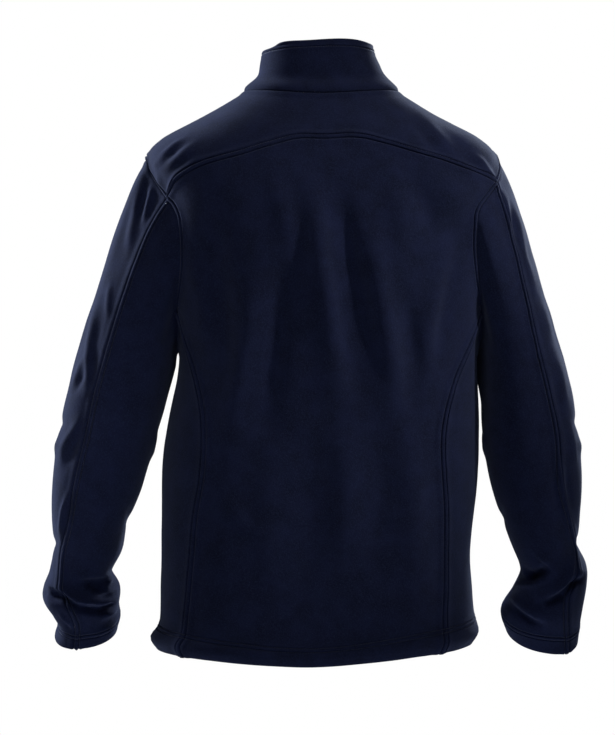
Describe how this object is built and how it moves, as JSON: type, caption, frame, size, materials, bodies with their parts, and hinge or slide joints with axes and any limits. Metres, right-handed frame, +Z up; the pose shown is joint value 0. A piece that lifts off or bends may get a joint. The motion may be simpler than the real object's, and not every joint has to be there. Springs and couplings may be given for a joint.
{
  "type": "fleece zip jacket",
  "caption": "Plain navy fleece jacket with a stand collar, shoulder yoke, long back seams and a full front zip, hollow as worn.",
  "frame": {"origin": "middle of the neck, level with the sides of the neck seam, where the wearer's neck and shoulders hold the jacket up", "axes": "+Z up, +Y out of the jacket's back, -Y out of its zipped front, +X towards the wearer's left arm"},
  "size_m": [0.7014, 0.2821, 0.7796],
  "materials": {
    "fleece": "matte knitted nap",
    "zip_tape": "woven matte",
    "zip_moulded": "satin",
    "zip_metal": "satin enamel"
  },
  "bodies": {
    "garment": {"back": "fleece", "yoke": "fleece", "collar": "fleece", "front_left": "fleece", "front_right": "fleece", "side_left": "fleece", "side_right": "fleece", "upper_sleeve_left": "fleece", "under_sleeve_left": "fleece", "upper_sleeve_right": "fleece", "under_sleeve_right": "fleece", "zip_tape_left": "zip_tape", "zip_tape_right": "zip_tape", "zip_chain": "zip_moulded", "zip_box": "zip_moulded", "zip_slider": "zip_metal", "zip_top_stop_left": "zip_metal", "zip_top_stop_right": "zip_metal"},
    "pull_tab": {"zip_pull": "zip_metal"}
  },
  "joints": [
    {"name": "pull_tab_swing", "type": "hinge", "parent": "garment", "child": "pull_tab", "pos_m": [0.00129, -0.08544, -0.01355], "axis": [-1, 0, 0], "range_deg": [0, 135]}
  ]
}
